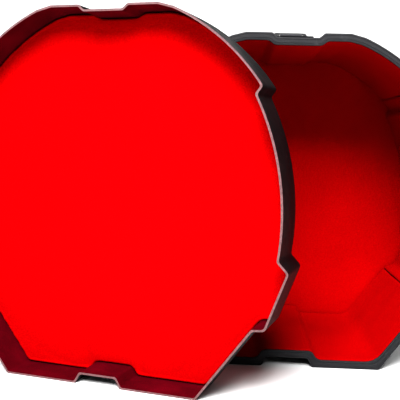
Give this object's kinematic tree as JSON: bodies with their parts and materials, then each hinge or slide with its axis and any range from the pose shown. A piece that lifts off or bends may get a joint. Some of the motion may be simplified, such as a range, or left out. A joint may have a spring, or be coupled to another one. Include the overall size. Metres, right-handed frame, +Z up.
{
  "type": "drum case",
  "caption": "Open D-shaped moulded drum case with a padded lining; its lid is off and stands beside it. Strap channels, side-release buckle, ring-mounted carrying handle.",
  "frame": {"origin": "on the floor, under the middle of the base", "axes": "+Z up, -Y out of the mouth of the base, +X to the right when looking into it"},
  "size_m": [0.8015, 0.5578, 0.5469],
  "materials": {
    "shell": "grained black moulded polyethylene",
    "edging": "dark grey extruded edging",
    "lining": "red plush over foam",
    "webbing": "black woven webbing",
    "grip": "black moulded grip",
    "plate": "black painted steel",
    "rivet": "nickel-plated steel",
    "ring": "nickel-plated steel wire",
    "fitting": "black moulded nylon"
  },
  "bodies": {
    "base": {"base_shell": "shell", "base_edging": "edging", "base_floor_pad": "lining", "base_lining_top": "lining", "base_lining_right": "lining", "base_lining_bottom": "lining", "base_lining_left": "lining", "top_strap": "webbing", "top_anchor_plate": "plate", "bottom_strap": "webbing", "bottom_anchor_plate": "plate", "strap_rivets": "rivet", "strap_washers": "rivet", "handle_plate_front": "plate", "handle_plate_rear": "plate", "handle_rivets": "rivet", "handle_washers": "rivet", "stow_loop": "fitting", "loop_rivets": "rivet", "ladder_slide": "fitting"},
    "lid": {"lid_shell": "shell", "lid_pad": "lining"},
    "front_ring": {"handle_ring_front": "ring"},
    "handle": {"handle_webbing": "webbing", "handle_grip": "grip"},
    "rear_ring": {"handle_ring_rear": "ring"},
    "socket": {"buckle_socket": "fitting"},
    "plug": {"buckle_plug": "fitting"}
  },
  "joints": [
    {"name": "lid_slide", "type": "slide", "parent": "base", "child": "lid", "axis": [0, -1, 0], "range_m": [-0.03, 0.25]},
    {"name": "front_ring_swing", "type": "hinge", "parent": "base", "child": "front_ring", "pos_m": [0, 0.005, 0.5179], "axis": [1, 0, 0], "range_deg": [-50, 50]},
    {"name": "handle_swing", "type": "hinge", "parent": "front_ring", "child": "handle", "pos_m": [0, 0.005, 0.5379], "axis": [1, 0, 0], "range_deg": [-50, 50]},
    {"name": "rear_ring_swing", "type": "hinge", "parent": "base", "child": "rear_ring", "pos_m": [0, 0.125, 0.5179], "axis": [1, 0, 0], "range_deg": [-50, 50]},
    {"name": "socket_swing", "type": "hinge", "parent": "base", "child": "socket", "pos_m": [0, -0.05, 0.5175], "axis": [-1, 0, 0], "range_deg": [0, 70]},
    {"name": "plug_swing", "type": "hinge", "parent": "base", "child": "plug", "pos_m": [0, 0.1696, 0.452], "axis": [-1, 0, 0], "range_deg": [0, 70]}
  ],
  "couplings": [
    {"joint": "handle_swing", "follows": "front_ring_swing", "ratio": -1},
    {"joint": "rear_ring_swing", "follows": "front_ring_swing", "ratio": 1}
  ]
}
